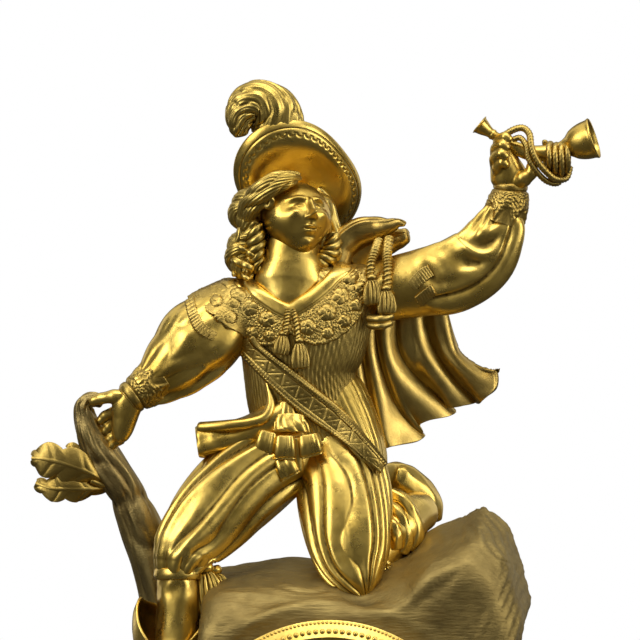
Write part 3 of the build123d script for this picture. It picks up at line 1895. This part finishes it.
# Bell, its stand and its hammer
with BuildPart() as bell:
    with BuildSketch(Plane(origin=(dial_x, 0, dial_z), x_dir=(1, 0, 0), z_dir=(0, 0, 1))):
        with BuildLine():
            outer = TangentArc(
                (bell_crown_radius, bell_crown_y), (bell_radius, bell_rim_y), tangent=(1, 0)
            )
            inner = TangentArc(
                (bell_crown_radius, bell_crown_y - bell_wall),
                (bell_radius - bell_wall, bell_rim_y),
                tangent=(1, 0),
            )
            Line(outer @ 1, inner @ 1)
            Polyline(
                outer @ 0,
                (bell_screw_radius, bell_crown_y),
                (bell_screw_radius, bell_crown_y - bell_wall),
                inner @ 0,
            )
        make_face()
    revolve(axis=Axis((dial_x, 0, dial_z), (0, 1, 0)))

with BuildPart() as bell_stand:
    add(
        turned(
            stand_place, [(back_plate_y, bell_crown_y + bell_arm_thickness, bell_post_radius)]
        )
    )
    add(
        block(
            stand_place[0],
            dial_x + bell_arm_width / 2,
            bell_crown_y,
            bell_crown_y + bell_arm_thickness,
            dial_z - bell_arm_width / 2,
            dial_z + bell_arm_width / 2,
        )
    )
    screw_head_y = bell_crown_y - bell_wall - bell_screw_head_height
    add(
        turned(
            centre,
            [
                (screw_head_y, bell_crown_y - bell_wall, bell_screw_head_radius),
                (screw_head_y, bell_crown_y, bell_screw_radius),
            ],
        )
    )

head_turn = math.radians(hammer_head_angle)
head_direction = Vector(math.cos(head_turn), 0, math.sin(head_turn))
head_start = Vector(dial_x, hammer_arm_y + hammer_arm_thickness / 2, dial_z) + head_direction * (
    bell_radius + hammer_gap
)
head_middle = head_start + head_direction * hammer_head_length / 2
arm_angle = angle_from(hammer_place, (head_middle.X, head_middle.Z))
with BuildPart() as hammer:
    add(
        turned(
            hammer_place,
            [
                (front_plate_y + pivot_past, inside_y + end_shake, pivot_radius),
                (inside_y + end_shake, hammer_arm_y + hammer_arm_thickness, arbor_radius),
            ],
        )
    )
    with BuildSketch(Plane.XZ.offset(-hammer_arm_y)):
        with BuildLine():
            Polyline(
                beside(hammer_place, hammer_arm_width / 2, arm_angle - 90),
                beside((head_middle.X, head_middle.Z), hammer_arm_width / 2, arm_angle - 90),
                beside((head_middle.X, head_middle.Z), hammer_arm_width / 2, arm_angle + 90),
                beside(hammer_place, hammer_arm_width / 2, arm_angle + 90),
                close=True,
            )
        make_face()
    extrude(amount=-hammer_arm_thickness)
    with BuildSketch(Plane(origin=head_start, z_dir=head_direction)):
        Circle(hammer_head_radius)
    extrude(amount=hammer_head_length)

# Rear frame with the two tie rods, and the rear door
rear_radius = 57.0
rear_inner_radius = 44.0
rear_thickness = 3.0
rear_door_radius = 50.0
rear_door_thickness = 1.7
rear_hinge_offset = 2.5
rear_knuckle_radius = 2.2
rear_pin_radius = 1.0
rear_frame_y = case_back_y + rear_thickness
rear_door_y = rear_frame_y + door_gap
rear_hinge_x = dial_x - rear_radius - rear_hinge_offset
rear_hinge_y = rear_door_y + rear_door_thickness / 2

with BuildPart() as rear_frame:
    add(ring(centre, rear_radius, rear_inner_radius, case_back_y, rear_frame_y))
    for side in (-1, 1):
        add(
            turned(
                (dial_x + side * rod_place_radius, dial_z),
                [(dial_back_y, case_back_y, rod_radius)],
            )
        )
    for bottom, top in frame_knuckles:
        add(
            block(
                rear_hinge_x - rear_knuckle_radius,
                dial_x - rear_radius + hinge_offset,
                case_back_y,
                rear_frame_y,
                dial_z + bottom,
                dial_z + top,
            )
        )
        add(upright(rear_hinge_x, rear_hinge_y, rear_knuckle_radius, dial_z + bottom, dial_z + top))
    add(
        upright(
            rear_hinge_x,
            rear_hinge_y,
            rear_pin_radius,
            dial_z - hinge_half_length,
            dial_z + hinge_half_length,
        )
    )

with BuildPart() as rear_door:
    add(turned(centre, [(rear_door_y, rear_door_y + rear_door_thickness, rear_door_radius)]))
    add(
        block(
            rear_hinge_x,
            dial_x - rear_door_radius + hinge_offset,
            rear_door_y,
            rear_door_y + rear_door_thickness,
            dial_z - hinge_middle,
            dial_z + hinge_middle,
        )
    )
    add(
        upright(
            rear_hinge_x,
            rear_hinge_y,
            rear_knuckle_radius,
            dial_z - hinge_middle,
            dial_z + hinge_middle,
        )
    )
    add(
        upright(
            rear_hinge_x,
            rear_hinge_y,
            rear_pin_radius + running_gap,
            dial_z - hinge_half_length,
            dial_z + hinge_half_length,
        ),
        mode=Mode.SUBTRACT,
    )

# Every piece under its own name
finished = {
    "plinth": footed_plinth.part,
    "scroll_feet": tenoned_feet.part,
    "base_screws": base_screws.part,
    "rock_case": drilled_rock.part,
    "oak_branch": branch_part,
    "oak_leaves": oak_leaves.part,
    "doublet": doublet_part,
    "head": head_part,
    "hat": hat_part,
    "plume": plume_part,
    "hair": hair.part,
    "lace_collar": collar_part,
    "cord_tassels": cord_tassels.part,
    "baldric": baldric_part,
    "coat_skirts": coat_skirts.part,
    "waist_bow": bow_part,
    "right_sleeve": right_sleeve_part,
    "right_cuff": right_cuff_part,
    "right_hand": right_hand_part,
    "left_sleeve": left_sleeve_part,
    "left_cuff": left_cuff_part,
    "left_hand": left_hand_part,
    "horn": horn_part,
    "horn_cord": horn_cord_part,
    "cloak": cloak_part,
    "right_breeches": right_breeches_part,
    "left_breeches": drilled_breeches.part,
    "right_boot": drilled_boot.part,
    "left_boot": left_boot_part,
    "figure_bolts": bolts_part,
    "front_frame": front_frame.part,
    "bezel_door": bezel_door.part,
    "glass": glass.part,
    "dial": dial.part,
    "minute_hand": minute_hand.part,
    "hour_hand": hour_hand.part,
    "hand_nut": hand_nut.part,
    "drum": drum.part,
    "front_plate": front_plate.part,
    "back_plate": back_plate.part,
    "going_barrel": spring_barrel(going, intermediate),
    "strike_barrel": spring_barrel(strike, strike_wheel_place),
    "going_arbor": winding_arbor(going),
    "strike_arbor": winding_arbor(strike),
    "centre_arbor": centre_arbor.part,
    "intermediate_arbor": intermediate_arbor.part,
    "third_arbor": third_arbor.part,
    "escape_arbor": escape_arbor.part,
    "anchor": anchor.part,
    "cannon_pinion": cannon_pinion.part,
    "minute_wheel": minute_wheel.part,
    "hour_wheel": hour_wheel.part,
    "strike_pin_wheel": strike_pin_wheel.part,
    "pendulum": pendulum.part,
    "back_cock": back_cock.part,
    "bell": bell.part,
    "bell_stand": bell_stand.part,
    "hammer": hammer.part,
    "rear_frame": rear_frame.part,
    "rear_door": rear_door.part,
}
for name, part in finished.items():
    part.label = name
    export_step(part, f"parts/{name}.step")
